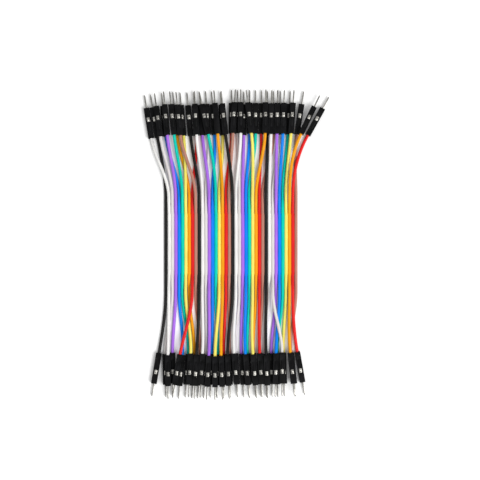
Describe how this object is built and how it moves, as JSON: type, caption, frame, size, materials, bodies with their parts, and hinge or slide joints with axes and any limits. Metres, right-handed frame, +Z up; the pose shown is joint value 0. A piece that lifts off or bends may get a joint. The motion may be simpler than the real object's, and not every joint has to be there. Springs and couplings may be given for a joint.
{
  "type": "breadboard jumper wire ribbon",
  "caption": "Flat ribbon of coloured jumper wires, peeled apart at both ends, with a square black housing and a male pin on each wire end, for patching a solderless breadboard.",
  "frame": {"origin": "centre of the space that the connectors take up, on the surface that the ribbon lies on", "axes": "+Z up from the surface, wires along Y with the far end at +Y, wires counted from -X to +X"},
  "size_m": [0.085, 0.1416, 0.0058],
  "materials": {
    "insulation_black": "black flexible PVC insulation, smooth with a soft sheen",
    "insulation_white": "white flexible PVC insulation, smooth with a soft sheen",
    "insulation_grey": "grey flexible PVC insulation, smooth with a soft sheen",
    "insulation_violet": "violet flexible PVC insulation, smooth with a soft sheen",
    "insulation_blue": "blue flexible PVC insulation, smooth with a soft sheen",
    "insulation_green": "green flexible PVC insulation, smooth with a soft sheen",
    "insulation_yellow": "yellow flexible PVC insulation, smooth with a soft sheen",
    "insulation_orange": "orange flexible PVC insulation, smooth with a soft sheen",
    "insulation_red": "red flexible PVC insulation, smooth with a soft sheen",
    "insulation_brown": "brown flexible PVC insulation, smooth with a soft sheen",
    "housing_black": "black moulded housing plastic, satin",
    "contact_metal": "bright tin-plated contact pins"
  },
  "bodies": {
    "root": {"wire_01_black": "insulation_black", "wire_02_white": "insulation_white", "wire_03_grey": "insulation_grey", "wire_04_violet": "insulation_violet", "wire_05_blue": "insulation_blue", "wire_06_green": "insulation_green", "wire_07_yellow": "insulation_yellow", "wire_08_orange": "insulation_orange", "wire_09_red": "insulation_red", "wire_10_brown": "insulation_brown", "wire_11_black": "insulation_black", "wire_12_white": "insulation_white", "wire_13_grey": "insulation_grey", "wire_14_violet": "insulation_violet", "wire_15_blue": "insulation_blue", "wire_16_green": "insulation_green", "wire_17_yellow": "insulation_yellow", "wire_18_orange": "insulation_orange", "wire_19_red": "insulation_red", "wire_20_brown": "insulation_brown", "wire_21_black": "insulation_black", "wire_22_white": "insulation_white", "wire_23_grey": "insulation_grey", "wire_24_violet": "insulation_violet", "wire_25_blue": "insulation_blue", "wire_26_green": "insulation_green", "wire_27_yellow": "insulation_yellow", "wire_28_orange": "insulation_orange", "wire_29_red": "insulation_red", "wire_30_brown": "insulation_brown", "wire_31_black": "insulation_black", "wire_32_white": "insulation_white", "wire_33_grey": "insulation_grey", "wire_34_violet": "insulation_violet", "wire_35_blue": "insulation_blue", "wire_36_green": "insulation_green", "wire_37_yellow": "insulation_yellow", "wire_38_orange": "insulation_orange", "wire_39_red": "insulation_red", "wire_40_brown": "insulation_brown", "far_connectors_01": "housing_black", "far_connectors_02": "housing_black", "far_connectors_03": "housing_black", "far_connectors_04": "housing_black", "far_connectors_05": "housing_black", "far_connectors_06": "housing_black", "far_connectors_07": "housing_black", "far_connectors_08": "housing_black", "far_connectors_09": "housing_black", "far_connectors_10": "housing_black", "near_connectors_01": "housing_black", "near_connectors_02": "housing_black", "near_connectors_03": "housing_black", "near_connectors_04": "housing_black", "near_connectors_05": "housing_black", "near_connectors_06": "housing_black", "near_connectors_07": "housing_black", "near_connectors_08": "housing_black", "near_connectors_09": "housing_black", "near_connectors_10": "housing_black"}
  },
  "joints": []
}
